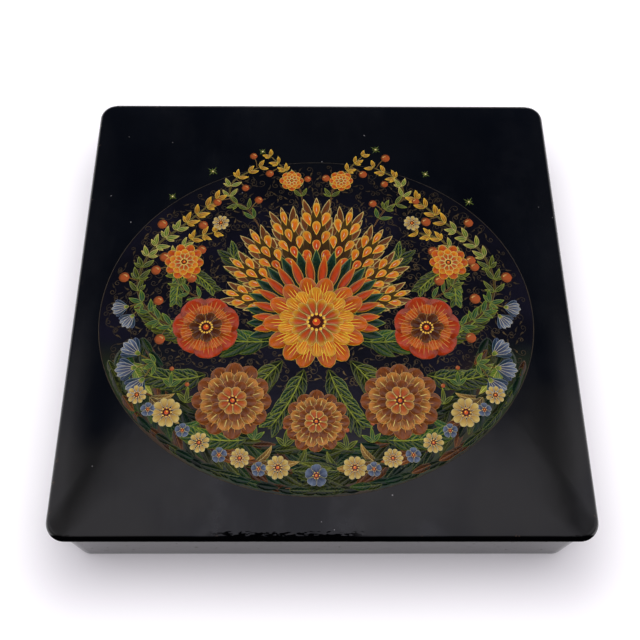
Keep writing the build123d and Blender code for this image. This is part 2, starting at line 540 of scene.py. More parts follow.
@dataclass(frozen=True)
class LidLacquer(CaseLacquer):
    """The lid's lacquer: black above with an indigo oval under the painting, and red below."""

    name: str = "lid_lacquer_finish"
    ior: float = 1.45
    reach: Pair = (85.0, 83.0)
    red_side: Pair = (75.7, 75.5)
    red_end: Pair = (73.5, 73.3)
    red_height: Pair = (33.5, 33.3)
    red_middle: float = -0.45
    held: Pair = (-12.0, -58.0)
    matt_top: float = 32.80
    matt_rise: float = 1.40
    matt_edge: Pair = (0.06, -0.06)
    matt_ring: Pair = (0.945, 0.950)
    matt_foot: Pair = (30.9, 31.1)
    corner: Pair = (79.0, -77.0)
    corner_turn: Pair = (0.55, 1.0)
    fray_from: float = -81.8
    fray_middle: float = -10.5
    fray_half: Pair = (27.0, 18.0)
    fray_height: Pair = (1.6, 1.3)
    fray_thinning: float = 0.15
    fray_cut: Pair = (0.37, 0.40)
    field: PaintedField = PaintedField()
    field_edge: Pair = (0.996, 0.986)
    top_side: Pair = (33.5, 33.7)
    indigo: Colour = linear(17, 15, 26)
    midnight: Colour = linear(9, 8, 15)
    moss_wash: Colour = linear(34, 44, 22)
    pine_wash: Colour = linear(12, 30, 22)
    earth_wash: Colour = linear(54, 38, 24)

    def handled(self, tree: NodeTree) -> Number:
        """Hazes the lid towards the front, where it is held and opened."""
        _, y, _ = tree.place()
        return y.step(*self.held) * 0.85 + 0.10

    def matt(self, tree: NodeTree) -> Number:
        """Leaves the rim dead black, highest along the front and frayed upwards where the lid is opened.

        Args:
            tree: The material's nodes.

        Returns:
            1 where the rim is dead black and 0 where the lid shines.
        """
        x, y, z = tree.place()
        aside = (abs(x) - self.corner[0]).op("MAXIMUM", 0.0)
        ahead = (self.corner[1] - y).op("MAXIMUM", 0.01)
        front = (ahead / (aside * aside + ahead * ahead).op("SQRT")).step(*self.corner_turn)
        rim = (z - front * self.matt_rise - self.matt_top).step(*self.matt_edge)
        above = y - self.fray_from
        ragged = (tree.drawn_noise(5, 430, 1500, 60) - above * self.fray_thinning).step(*self.fray_cut)
        frayed = ragged * abs(x - self.fray_middle).step(*self.fray_half) * above.step(*self.fray_height)
        return rim.op("MAXIMUM", frayed) * self.outward(tree).step(*self.matt_ring) * z.step(*self.matt_foot)

    def ground(self, tree: NodeTree, colour: bpy.types.NodeSocket) -> bpy.types.NodeSocket:
        """Lays the indigo oval with an earthy underpainting along its near edge.

        Args:
            tree: The material's nodes.
            colour: The coats' colour so far.

        Returns:
            The colour with the oval and the red underside in it.
        """
        x, y, z = tree.place()
        out = self.field.share(x, y)
        back = (y - self.field.y) / self.field.half_depth
        oval = out.step(*self.field_edge) * z.step(*self.top_side)
        indigo = tree.mix(tree.noise(45, 3).step(0.35, 0.65), self.midnight, self.indigo)
        colour = tree.mix(oval * back.step(1.05, 0.55), colour, indigo)
        wash = tree.mix(tree.noise(60, 3).step(0.42, 0.58), self.pine_wash, self.moss_wash)
        wash = tree.mix(tree.noise(38, 2).step(0.52, 0.62), wash, self.earth_wash)
        colour = tree.mix(oval * out.step(0.66, 0.86) * back.step(-0.12, -0.42), colour, wash)
        return super().ground(tree, colour)


@dataclass(frozen=True)
class RedLacquer(Finish):
    """Cinnabar lacquer of the loose-fitting frame, brushed and rubbed along its edges."""

    name: str = "inner_lacquer_finish"
    red: Colour = linear(172, 28, 19)
    dark_red: Colour = linear(158, 23, 17)

    def nodes(self, tree: NodeTree) -> None:
        """Brushes two reds over each other and rubs the gloss."""
        brushed = tree.drawn_noise(3, 60, 60, 110).step(0.3, 0.75)
        tree.surface(Base_Color=tree.mix(brushed, self.dark_red, self.red), IOR=1.5,
                     Roughness=tree.noise(240, 3).step(0.45, 0.8) * 0.10 + 0.20,
                     Normal=tree.bump(brushed, FINE_RELIEF, 0.4))


@dataclass(frozen=True)
class HingeLacquer(Finish):
    """Black lacquer on the paper barrel, worn through to brown in rings where it turns."""

    name: str = "hinge_lacquer_finish"
    coats: Colour = (0.0045, 0.0045, 0.006)
    paper: Colour = (0.055, 0.030, 0.018)

    def nodes(self, tree: NodeTree) -> None:
        """Wears the coats in thin rings across the barrel.

        Args:
            tree: The material's nodes.
        """
        rings = tree.drawn_noise(3, 900, 40, 40).step(0.60, 0.78)
        blotch = tree.noise(160, 3).step(0.45, 0.65)
        tree.surface(Base_Color=tree.mix(rings * blotch * 0.6, self.coats, self.paper), IOR=1.5,
                     Roughness=rings * 0.18 + blotch * 0.08 + 0.16,
                     Normal=tree.bump(rings, 3 * FINE_RELIEF, 0.6))


@dataclass(frozen=True)
class DrawnSteel(Finish):
    """Plain drawn steel wire with fine marks along it."""

    name: str = "drawn_steel"
    bright: Colour = (0.46, 0.45, 0.43)
    dull: Colour = (0.23, 0.20, 0.17)

    def nodes(self, tree: NodeTree) -> None:
        """Draws long marks along the wire and a few dull spots.

        Args:
            tree: The material's nodes.
        """
        drawn = tree.drawn_noise(3, 40, 4000, 4000)
        dull = tree.noise(500, 3).step(0.55, 0.75)
        tree.surface(Base_Color=tree.mix(dull, self.bright, self.dull), Metallic=1.0,
                     Roughness=drawn * 0.2 + dull * 0.2 + 0.16,
                     Normal=tree.bump(drawn, FINE_RELIEF, 0.5))


@dataclass(frozen=True)
class Tempera(Finish):
    """Tempera strokes under clear lacquer, read from what each stroke stores on its points."""

    slot = "tempera_paint"
    name: str
    rim_mm: float = 0.16
    rim_share: float = 0.85
    core_share: float = 0.0
    rib_mm: float = 0.0
    vein_gap_mm: float = 0.0
    vein_slant: float = 1.2
    vein_share: float = 0.35
    streak_share: float = 0.16
    roughness: float = 0.13
    shadow: Colour = (0.0, 0.0, 0.0)

    def nodes(self, tree: NodeTree) -> None:
        """Builds the stroke's colour from its core, bristle marks, veins, rib and rim.

        Args:
            tree: The material's nodes.
        """
        side, half, along, travel = (tree.attribute(n) for n in ("side", "half", "along", "travel"))
        rim = tree.tint("rim")
        colour = tree.tint("paint")
        inward = abs(side) / (half + 0.001)
        if self.core_share:
            core = inward.step(0.72, 0.30) * along.step(0.08, 0.30) * along.step(0.88, 0.62)
            colour = tree.mix(core * self.core_share, colour, tree.tint("core"))
        point = tree.node("CombineXYZ", {"X": side * 5.5, "Y": travel * 0.55}).outputs[0]
        bristles = tree.noise(1.0, 3, point)
        colour = tree.mix(bristles.step(0.50, 0.72) * self.streak_share * 0.6, colour, rim)
        colour = tree.mix(bristles.step(0.48, 0.26) * self.streak_share * 1.8, colour, self.shadow)
        relief = bristles * 0.5
        if self.vein_gap_mm:
            wave = ((travel - abs(side) * self.vein_slant) * (2 * math.pi / self.vein_gap_mm)).op("SINE")
            veins = wave.step(0.55, 0.95)
            colour = tree.mix(veins * self.vein_share, colour, rim)
            relief = relief + veins * 0.5
        if self.rib_mm:
            rib = abs(side).step(self.rib_mm, self.rib_mm * 0.4)
            colour = tree.mix(rib * 0.7, colour, rim)
        if self.rim_mm:
            edge = (half - abs(side)).step(self.rim_mm * 1.35, self.rim_mm * 0.75)
            colour = tree.mix(edge * self.rim_share, colour, rim)
        tree.surface(Base_Color=colour, Roughness=bristles * 0.08 + self.roughness, IOR=1.45,
                     Normal=tree.bump(relief, FINE_RELIEF, 0.5))


@dataclass(frozen=True)
class ShellGold(Finish):
    """Powdered gold laid in thin lines, dull and rubbed."""

    slot = "gilt_paint"
    name: str = "shell_gold"
    rubbed: Colour = (0.028, 0.020, 0.012)

    def nodes(self, tree: NodeTree) -> None:
        """Lets the gold run thick and thin."""
        worn = tree.noise(700, 3)
        tree.surface(Base_Color=tree.mix(worn.step(0.35, 0.62), self.rubbed, tree.tint("paint")),
                     Metallic=0.35, Roughness=worn * 0.2 + 0.30, Normal=tree.bump(worn, FINE_RELIEF, 0.4))


class LidTop:
    """The lid's swelling top as a height map, so that paint can follow it."""

    REACH = 82

    def __init__(self, node: bpy.types.Object) -> None:
        """Measures the top's height every millimetre, as far as the reach each way.

        Args:
            node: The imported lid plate.
        """
        shape = bmesh.new()
        shape.from_mesh(node.data)
        tree = BVHTree.FromBMesh(shape)
        places = [place * MM for place in range(-self.REACH, self.REACH + 1)]
        down = Vector((0, 0, -1))
        self.heights = np.array(
            [[tree.ray_cast(Vector((x, y, 1.0)), down)[0].z / MM for y in places] for x in places])
        shape.free()

    def at(self, spots: np.ndarray) -> np.ndarray:
        """Reads the top's height under points, all in millimetres.

        Args:
            spots: Points on the lid, one row each.

        Returns:
            The height at each.
        """
        place = np.clip(spots + self.REACH, 0, 2 * self.REACH - 1e-6)
        low = np.floor(place).astype(int)
        i, j, (u, v) = low[:, 0], low[:, 1], (place - low).T
        grid = self.heights
        return ((grid[i, j] * (1 - u) + grid[i + 1, j] * u) * (1 - v)
                + (grid[i, j + 1] * (1 - u) + grid[i + 1, j + 1] * u) * v)


class Pigment(Enum):
    """The painter's colours, in linear light."""

    VERMILION = linear(192, 58, 16)
    ORANGE = linear(214, 98, 14)
    AMBER = linear(222, 156, 34)
    LEMON = linear(238, 196, 58)
    CREAM = linear(220, 194, 108)
    MAROON = linear(64, 22, 12)
    RUSSET = linear(100, 52, 20)
    CORAL = linear(164, 76, 36)
    OCHRE = linear(160, 114, 44)
    PEACH = linear(204, 132, 56)
    CLAY = linear(134, 71, 30)
    UMBER = linear(56, 34, 18)
    BRONZE = linear(74, 56, 20)
    OLIVE = linear(84, 88, 20)
    GRASS = linear(50, 92, 20)
    MOSS = linear(140, 148, 44)
    PINE = linear(10, 32, 20)
    TEAL = linear(16, 58, 42)
    DUSK = linear(36, 44, 74)
    MIST = linear(106, 120, 144)
    CHALK = linear(214, 206, 180)
    GILT = linear(132, 106, 58)
    DIM_GILT = linear(76, 62, 42)


class Profile(Enum):
    """How a stroke's width runs from its root to its tip: where it is widest, and how blunt it is."""

    LEAF = (0.85, 0.90)
    PETAL = (1.70, 0.55)
    DROP = (0.42, 0.75)
    LINE = (1.00, 0.28)
    ROUND = (1.00, 0.50)

    def share(self, along: np.ndarray) -> np.ndarray:
        """The half width at each place, as a share of the widest."""
        skew, blunt = self.value
        return np.maximum(np.sin(math.pi * along ** skew), 0.0) ** blunt


@dataclass(frozen=True)
class Look:
    """A stroke's colours and the run of its width."""

    root: Pigment
    tip: Pigment
    rim: Pigment
    core: Pigment = Pigment.VERMILION
    profile: Profile = Profile.LEAF

    def fine_line(self) -> Look:
        """The look of a fine line in this look's rim colour."""
        return Look(self.rim, self.rim, self.rim, self.rim, Profile.LINE)


def dip(pigments: str, profile: Profile = Profile.LEAF) -> Look:
    """Makes a look from the names of its root, tip, rim and core pigments, in that order."""
    return Look(*(Pigment[name] for name in pigments.split()), profile=profile)


class Looks:
    """The looks that the motifs share."""

    PLUME_BODY = dip("UMBER BRONZE OCHRE UMBER")
    PLUME_SCALE = dip("ORANGE AMBER LEMON ORANGE", Profile.PETAL)
    PLUME_ROOT = dip("VERMILION ORANGE LEMON VERMILION", Profile.PETAL)
    PLUME_TIP = dip("MAROON CLAY CREAM RUSSET")
    COLLAR_LEAF = dip("PINE TEAL MOSS PINE")
    COLLAR_FLAME = dip("MAROON ORANGE AMBER VERMILION")
    GOLD_OUTER = dip("MAROON ORANGE LEMON VERMILION", Profile.PETAL)
    GOLD_MIDDLE = dip("VERMILION AMBER LEMON ORANGE", Profile.PETAL)
    GOLD_INNER = dip("MAROON AMBER CREAM VERMILION", Profile.PETAL)
    POPPY_OUTER = dip("MAROON VERMILION PEACH VERMILION", Profile.PETAL)
    POPPY_MIDDLE = dip("MAROON ORANGE PEACH VERMILION", Profile.PETAL)
    POPPY_INNER = dip("MAROON RUSSET AMBER MAROON", Profile.PETAL)
    PEONY_OUTER = dip("MAROON CLAY PEACH RUSSET", Profile.PETAL)
    PEONY_MIDDLE = dip("MAROON PEACH CREAM RUSSET", Profile.PETAL)
    PEONY_INNER = dip("RUSSET PEACH CREAM VERMILION", Profile.PETAL)
    DAISY = dip("OCHRE CREAM CHALK CREAM", Profile.PETAL)
    BELL = dip("DUSK MIST CHALK DUSK", Profile.PETAL)
    BELL_DARK = dip("TEAL DUSK MIST DUSK", Profile.PETAL)
    PINE = dip("PINE TEAL GRASS")
    TEAL = dip("PINE TEAL MOSS")
    GRASS = dip("TEAL GRASS MOSS")
    OLIVE = dip("PINE OLIVE MOSS")
    SPRING = dip("GRASS MOSS CREAM")
    OCHRE = dip("UMBER OCHRE CREAM")
    AUTUMN = dip("RUSSET AMBER LEMON")
    EARTH = dip("UMBER CLAY PEACH")
    STEM = dip("UMBER OLIVE OCHRE", Profile.LINE)
    BERRY = dip("RUSSET CORAL PEACH CORAL", Profile.ROUND)
    DISC = dip("MAROON MAROON VERMILION MAROON", Profile.ROUND)
    RED_DOT = dip("VERMILION VERMILION PEACH VERMILION", Profile.ROUND)
    YELLOW_DOT = dip("AMBER LEMON CREAM LEMON", Profile.ROUND)
    PALE_DOT = dip("CREAM CHALK CHALK CHALK", Profile.ROUND)
    CREAM_DROP = dip("CREAM CREAM CHALK", Profile.DROP)
    SPARK = dip("MOSS GRASS MOSS")
    BORDER_LINE = dip("DIM_GILT DIM_GILT GILT", Profile.LINE)
    GILT_LINE = dip("DIM_GILT GILT GILT", Profile.LINE)
    GILT_DROP = dip("GILT DIM_GILT GILT", Profile.DROP)


def around(middle: Sequence[float], angle: float, reach: float) -> np.ndarray:
    """The point so far out from a middle, at an angle in degrees."""
    turn = math.radians(angle)
    return np.asarray(middle) + np.array((math.cos(turn), math.sin(turn))) * reach


def sweep(start: Sequence[float], heading: float, length: float, bend: float = 0.0,
          power: float = 1.0, steps: int = 24) -> np.ndarray:
    """Draws a line that leaves a point at a heading and turns as it goes.

    Args:
        start: The point.
        heading: Direction in degrees, 0 to the right and 90 to the back.
        length: The line's length.
        bend: How far it turns in all, in degrees, to the left where positive.
        power: Above 1, the turning grows towards the end, as in a spiral.
        steps: How many short runs it is made of.

    Returns:
        The line's points, one row each.
    """
    shares = (np.arange(steps) + 0.5) / steps
    turn = np.radians(heading + bend * shares ** power)
    run = np.column_stack([np.cos(turn), np.sin(turn)]) * (length / steps)
    return np.vstack([start, np.asarray(start) + np.cumsum(run, axis=0)])


def through(points: Sequence[Pair], steps: int = 14) -> np.ndarray:
    """Draws a smooth line through points.

    Args:
        points: Where the line passes.
        steps: How many short runs it has between each two.

    Returns:
        The line's points, one row each.
    """
    spots = np.array(points, float)
    knots = np.vstack([2 * spots[0] - spots[1], spots, 2 * spots[-1] - spots[-2]])
    spans = len(spots) - 1
    run = np.linspace(0, spans, steps * spans + 1)
    i = np.minimum(run.astype(int), spans - 1)
    f = (run - i)[:, None]
    a, b, c, d = (knots[i + k] for k in range(4))
    return 0.5 * (2 * b + (c - a) * f + (2 * a - 5 * b + 4 * c - d) * f ** 2
                  + (3 * b - a - 3 * c + d) * f ** 3)


def follow(line: np.ndarray, shares: np.ndarray) -> tuple[np.ndarray, np.ndarray, float]:
    """Finds points and directions at shares of a line's length.

    Args:
        line: The line's points.
        shares: Places along it, 0 to 1.

    Returns:
        The points, the unit directions there, and the line's whole length.
    """
    steps = np.diff(line, axis=0)
    lengths = np.linalg.norm(steps, axis=1)
    run = np.concatenate(([0.0], np.cumsum(lengths)))
    middles = (run[1:] + run[:-1]) / 2
    place = shares * run[-1]
    spots = np.column_stack([np.interp(place, run, line[:, k]) for k in (0, 1)])
    ways = np.column_stack([np.interp(place, middles, (steps / lengths[:, None])[:, k]) for k in (0, 1)])
    return spots, ways / np.linalg.norm(ways, axis=1)[:, None], run[-1]


def station(line: np.ndarray, share: float) -> tuple[np.ndarray, np.ndarray, float]:
    """Finds one place on a line.

    Args:
        line: The line's points.
        share: How far along it, 0 to 1.

    Returns:
        The point, the unit direction there, and that direction in degrees.
    """
    spots, ways, _ = follow(line, np.array([share]))
    return spots[0], ways[0], math.degrees(math.atan2(ways[0, 1], ways[0, 0]))


class StrokeForm:
    """A ball with chosen divisions, drawn out into one stroke after another."""

    COLOURS = ("paint", "rim", "core")
    NUMBERS = ("along", "travel", "side", "half")
    FLATNESS = 0.4
    made: dict[tuple[int, int], StrokeForm] = {}

    def __init__(self, sides: int, rings: int) -> None:
        """Makes the ball and reads where each of its points will lie in a stroke.

        Args:
            sides: Divisions around a stroke.
            rings: Divisions along it.
        """
        shape = bmesh.new()
        bmesh.ops.create_uvsphere(shape, u_segments=sides, v_segments=rings, radius=1.0)
        self.mesh = bpy.data.meshes.new(f"stroke_form_{sides}_{rings}")
        shape.to_mesh(self.mesh)
        shape.free()
        unit = np.empty(3 * len(self.mesh.vertices))
        self.mesh.vertices.foreach_get("co", unit)
        x, y, z = unit.reshape(-1, 3).T
        self.along = (np.arccos(np.clip(-z, -1, 1)) / math.pi + (1 + z) / 2) / 2
        # The two poles have no girth, so their points lie on the stroke's middle line.
        girth = np.maximum(np.hypot(x, y), 1e-4)
        self.up = np.where(girth > 2e-4, y / girth, 0.0)
        cosine = np.where(girth > 2e-4, x / girth, 0.0)
        self.across = np.sign(cosine) * np.abs(cosine) ** self.FLATNESS * (np.abs(cosine) > 1e-5)
        # The outline is a sharp edge, so that the painted face shades as one flat film.
        ends = np.empty(2 * len(self.mesh.edges), int)
        self.mesh.edges.foreach_get("vertices", ends)
        on_rim = (np.abs(self.up) < 0.01)[ends].reshape(-1, 2).all(axis=1)
        self.mesh.attributes.new("sharp_edge", "BOOLEAN", "EDGE").data.foreach_set("value", on_rim)
        self.mesh.polygons.foreach_set("use_smooth", np.ones(len(self.mesh.polygons), bool))
        for name in self.COLOURS + self.NUMBERS:
            self.mesh.attributes.new(name, "FLOAT_COLOR" if name in self.COLOURS else "FLOAT", "POINT")

    @classmethod
    def get(cls, sides: int, rings: int) -> StrokeForm:
        """Finds the form with these divisions, or makes it.

        Args:
            sides: Divisions around a stroke.
            rings: Divisions along it.

        Returns:
            The form.
        """
        if (sides, rings) not in cls.made:
            cls.made[sides, rings] = cls(sides, rings)
        return cls.made[sides, rings]

    @classmethod
    def clear(cls) -> None:
        """Removes the forms once the painting is done."""
        for form in cls.made.values():
            bpy.data.meshes.remove(form.mesh)
        cls.made.clear()

    def draw_into(self, shape: bmesh.types.BMesh, places: np.ndarray, **values: np.ndarray) -> None:
        """Adds one stroke to a shape.

        Args:
            shape: The shape that the stroke joins.
            places: The stroke's points in metres.
            **values: What each point stores, by field name.
        """
        self.mesh.vertices.foreach_set("co", places.ravel())
        for name, value in values.items():
            key, size = ("color", (len(places), 4)) if name in self.COLOURS else ("value", len(places))
            row = np.ascontiguousarray(np.broadcast_to(value, size), np.float32)
            self.mesh.attributes[name].data.foreach_set(key, row.ravel())
        shape.from_mesh(self.mesh)


class Coat(Enum):
    """The painting's coats from the lid up: piece name, level above the lid in millimetres, finish."""

    BORDER = ("hairline_border", 0.054, ShellGold())
    CURLS = ("gilt_curls", 0.024, ShellGold())
    BACK_LEAVES = ("back_leaves", 0.028, Tempera(
        "back_leaf_tempera", rim_mm=0.15, rim_share=0.6, rib_mm=0.10, vein_gap_mm=1.1, vein_share=0.22))
    BROAD_LEAVES = ("broad_leaves", 0.050, Tempera(
        "broad_leaf_tempera", rim_mm=0.22, rib_mm=0.16, vein_gap_mm=1.5, vein_slant=1.5, vein_share=0.30))
    LEAF_RIBS = ("leaf_ribs", 0.068, Tempera("rib_tempera", rim_mm=0.0, streak_share=0.1))
    STEMS = ("stems", 0.072, Tempera("stem_tempera", rim_mm=0.12, rim_share=0.5))
    SPRAY_LEAVES = ("spray_leaves", 0.080, Tempera(
        "spray_leaf_tempera", rim_mm=0.20, rib_mm=0.09, rim_share=0.8))
    BERRIES = ("berries", 0.092, Tempera("berry_tempera", rim_mm=0.0, core_share=0.7))
    PLUME_LEAVES = ("plume_leaves", 0.096, Tempera(
        "plume_tempera", rim_mm=0.26, core_share=0.9, streak_share=0.25))
    BELL_PETALS = ("bell_petals", 0.112, Tempera("bell_tempera", rim_mm=0.18, rib_mm=0.10, core_share=0.5))
    PEONY_PETALS = ("peony_petals", 0.132, Tempera(
        "peony_tempera", rim_mm=0.26, core_share=0.55, streak_share=0.34))
    POPPY_PETALS = ("poppy_petals", 0.132, Tempera(
        "poppy_tempera", rim_mm=0.20, core_share=0.6, streak_share=0.30))
    ROSETTE_PETALS = ("rosette_petals", 0.132, Tempera(
        "rosette_tempera", rim_mm=0.28, core_share=0.8, streak_share=0.24))
    DAISY_PETALS = ("daisy_petals", 0.146, Tempera(
        "daisy_tempera", rim_mm=0.14, rim_share=0.7, streak_share=0.22))
    HEARTS = ("blossom_hearts", 0.174, Tempera("heart_tempera", rim_mm=0.10))
    LIGHTS = ("fine_lights", 0.186, Tempera("light_tempera", rim_mm=0.0, streak_share=0.1))

    def __init__(self, piece: str, level: float, finish: Tempera | ShellGold) -> None:
        """Names the parts of a coat's value."""
        self.piece, self.level, self.finish = piece, level, finish


def opaque(colour: np.ndarray, light: float) -> np.ndarray:
    """Adds a full alpha to a colour or rows of colours, after brightening it."""
    lit = np.atleast_2d(colour) * light
    return np.hstack([lit, np.ones((len(lit), 1))])


class PaintLayer:
    """One coat of brush strokes, which becomes one piece on the lid. Its heights are millimetres."""

    SUNK = -0.02
    CROWN = 0.003
    STEP = 0.005
    TURNS = 3
    TURN_STEP = 0.0008
    TIP_POWER = 1.5
    BAKE_MARGIN = 0.004

    def __init__(self, coat: Coat, top: LidTop, place: PaintedField) -> None:
        """Starts an empty coat.

        Args:
            coat: Which coat it is.
            top: The lid's top, which the strokes follow.
            place: The painted field, whose middle the strokes are placed from.
        """
        self.coat, self.top = coat, top
        self.middle = np.array((place.x, place.y))
        self.shape = bmesh.new()
        self.count = 0

    def stroke(self, line: np.ndarray, width: float, look: Look, step: int = 0,
               rings: int = 7, sides: int = 6, light: float = 1.0) -> None:
        """Lays one closed stroke along a line.

        Args:
            line: The stroke's middle line, in millimetres from the field's middle.
            width: Its greatest width.
            look: Its colours and profile.
            step: How many thin steps it lies above the coat's level.
            rings: Divisions along it.
            sides: Divisions around it.
            light: Brightness of its paint.
        """
        form = StrokeForm.get(sides, rings)
        spots, ahead, length = follow(line + self.middle, form.along)
        half = width / 2 * look.profile.share(form.along)
        side = form.across * half
        spots = spots + np.column_stack([-ahead[:, 1], ahead[:, 0]]) * side[:, None]
        # Neighbours lie at slightly different heights, so that no two painted faces coincide.
        level = self.coat.level + self.STEP * step + self.TURN_STEP * (self.count % self.TURNS)
        lift = np.where(form.up < -0.01, self.SUNK, level + self.CROWN * np.maximum(form.up, 0))
        share = (form.along ** self.TIP_POWER)[:, None]
        root, tip, rim, core = (np.array(p.value) for p in (look.root, look.tip, look.rim, look.core))
        form.draw_into(self.shape, np.column_stack([spots, self.top.at(spots) + lift]) * MM,
                       paint=opaque(root * (1 - share) + tip * share, light), rim=opaque(rim, light),
                       core=opaque(core, light), along=form.along, travel=form.along * length,
                       side=side, half=half)
        self.count += 1

    def build(self) -> None:
        """Turns the coat into a piece that rides on the lid."""
        mesh = bpy.data.meshes.new(self.coat.piece)
        self.shape.to_mesh(mesh)
        self.shape.free()
        places = np.empty(3 * len(mesh.vertices))
        mesh.vertices.foreach_get("co", places)
        plan = places.reshape(-1, 3)[:, :2]
        low, span = plan.min(axis=0), (plan.max(axis=0) - plan.min(axis=0)).max()
        corners = np.empty(len(mesh.loops), int)
        mesh.loops.foreach_get("vertex_index", corners)
        flat = self.BAKE_MARGIN + (1 - 2 * self.BAKE_MARGIN) * (plan[corners] - low) / span
        mesh.uv_layers.new(name="OFBake").data.foreach_set("uv", flat.ravel())
        mesh.materials.append(self.coat.finish.build())
        piece = add_object(self.coat.piece, mesh)
        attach(piece, "lid")
        LOG.info("%s: %d strokes, %d faces", self.coat.piece, self.count, len(mesh.polygons))


class Brush:
    """The painter's hand: it lays strokes into the coats, each a little different from the last.

    Motifs are drawn for the right half. While side is -1, all strokes go to the left half, mirrored.
    """

    DEPTH = 0.80
    LOADING = 0.10
    LOOSE_SIZE = 0.08
    LOOSE_TURN = 4
    LOOSE_BEND = 8

    def __init__(self, top: LidTop, place: PaintedField, seed: int) -> None:
        """Opens every coat.

        Args:
            top: The lid's top.
            place: The painted field.
            seed: Start of the random draws, so that every run paints the same.
        """
        self.place = place
        self.side = 1
        self.random = random.Random(seed)
        self.coats = {coat: PaintLayer(coat, top, place) for coat in Coat}

    def vary(self, spread: float) -> float:
        """A random number between minus and plus the spread."""
        return self.random.uniform(-spread, spread)

    def stroke(self, coat: Coat, line: np.ndarray, width: float, look: Look, light: float = 1.0,
               **more: int) -> None:
        """Lays a stroke with a slightly uneven loading.

        Args:
            coat: The coat that it joins.
            line: Its middle line.
            width: Its greatest width.
            look: Its colours and profile.
            light: Brightness of its paint.
            **more: Its step and divisions.
        """
        light = light * self.DEPTH * (1.0 + self.vary(self.LOADING))
        self.coats[coat].stroke(line * np.array((self.side, 1.0)), width, look, light=light, **more)

    def dot(self, coat: Coat, spot: Sequence[float], size: float, look: Look, step: int = 0) -> None:
        """Lays one round dot at full brightness.

        Args:
            coat: The coat that it joins.
            spot: Its middle.
            size: Its width.
            look: Its colours.
            step: How many thin steps it lies above the coat's level.
        """
        line = np.array([(spot[0] * self.side + reach, spot[1]) for reach in (-size / 2, 0, size / 2)])
        self.coats[coat].stroke(line, size, look, step, rings=6, sides=8)

    def leaf(self, coat: Coat, root: Sequence[float], heading: float, length: float, width: float,
             look: Look, bend: float = 0.0, step: int = 0, light: float = 1.0) -> None:
        """Lays one leaf with a loose hand.

        Args:
            coat: The coat that it joins.
            root: Where it starts.
            heading: Its direction there, in degrees.
            length: Its length.
            width: Its greatest width.
            look: Its colours and profile.
            bend: How far it turns, in degrees.
            step: How many thin steps it lies above the coat's level.
            light: Brightness of its paint.
        """
        line = sweep(root, heading + self.vary(self.LOOSE_TURN), length * (1 + self.vary(self.LOOSE_SIZE)),
                     bend + self.vary(self.LOOSE_BEND))
        self.stroke(coat, line, width * (1 + self.vary(self.LOOSE_SIZE)), look, light, step=step)

    def berry(self, spot: Sequence[float], radius: float) -> None:
        """Lays a berry with a light on it.

        Args:
            spot: Its middle.
            radius: Its radius.
        """
        self.dot(Coat.BERRIES, spot, radius * 2, Looks.BERRY)
        light = sweep((spot[0] - radius * 0.55, spot[1] + radius * 0.10), 70, radius * 0.9, -80)
        self.stroke(Coat.BERRIES, light, radius * 0.30, Looks.CREAM_DROP, step=2, rings=5)

    def paint_pairs(self, *motifs: Motif) -> None:
        """Paints motifs on both halves, all of them on the left and then all on the right.

        Args:
            *motifs: The motifs, those that lie under the others first.
        """
        for side in (-1, 1):
            self.side = side
            for motif in motifs:
                motif.paint(self)


class Motif:
    """A part of the ornament that a brush can paint."""

    def paint(self, brush: Brush) -> None:
        """Paints the motif."""
        raise NotImplementedError


@dataclass(frozen=True)
class Tier:
    """One ring of petals, with its lengths as shares of the flower's radius."""

    petals: int
    reach: float
    start: float
    width: float
    look: Look
    turn: float = 0.0
    rays: tuple[int, ...] = ()


def golden_tiers(petals: int, rays: tuple[int, ...] = ()) -> tuple[Tier, ...]:
    """Makes the petals of a layered golden flower.

    Args:
        petals: How many each tier has.
        rays: The light lines on each petal of the two outer tiers.

    Returns:
        The tiers from the outside in.
    """
    gap = 2 * math.pi / petals
    return (Tier(petals, 1.00, 0.16, gap * 0.86, Looks.GOLD_OUTER, 0.0, rays),
            Tier(petals, 0.76, 0.14, gap * 0.66, Looks.GOLD_MIDDLE, 0.5, rays),
            Tier(petals, 0.52, 0.12, gap * 0.46, Looks.GOLD_INNER))


class Flower(Enum):
    """Kinds of flower: coat, tiers from the outside in, the heart's share of the radius, its dots."""

    POPPY = (Coat.POPPY_PETALS, (
        Tier(7, 1.00, 0.10, 0.90, Looks.POPPY_OUTER, 0.1, (-2, -1, 0, 1, 2)),
        Tier(7, 0.74, 0.10, 0.60, Looks.POPPY_MIDDLE, 0.6, (-1, 0, 1)),
        Tier(7, 0.50, 0.08, 0.40, Looks.POPPY_INNER, 0.1)), 0.18, 14)
    PEONY = (Coat.PEONY_PETALS, (
        Tier(12, 1.00, 0.30, 0.50, Looks.PEONY_OUTER, 0.0, (-1, 1)),
        Tier(12, 0.80, 0.25, 0.40, Looks.PEONY_MIDDLE, 0.5, (0,)),
        Tier(10, 0.58, 0.14, 0.34, Looks.PEONY_OUTER, 0.2),
        Tier(8, 0.38, 0.06, 0.26, Looks.PEONY_INNER, 0.4)), 0.12, 8)
    GREAT_ROSETTE = (Coat.ROSETTE_PETALS, golden_tiers(14, (-1, 0, 1)), 0.17, 12)
    ROSETTE = (Coat.ROSETTE_PETALS, golden_tiers(10), 0.17, 12)
    SMALL_ROSETTE = (Coat.ROSETTE_PETALS, golden_tiers(8), 0.17, 12)
    DAISY = (Coat.DAISY_PETALS, (Tier(10, 1.00, 0.28, 0.52, Looks.DAISY),), 0.30, 8)
    SMALL_DAISY = (Coat.DAISY_PETALS, (Tier(9, 1.00, 0.28, 0.52, Looks.DAISY),), 0.30, 8)
    FORGET_ME_NOT = (Coat.DAISY_PETALS, (Tier(5, 1.00, 0.18, 0.96, Looks.BELL, 0.25),), 0.28, 6)


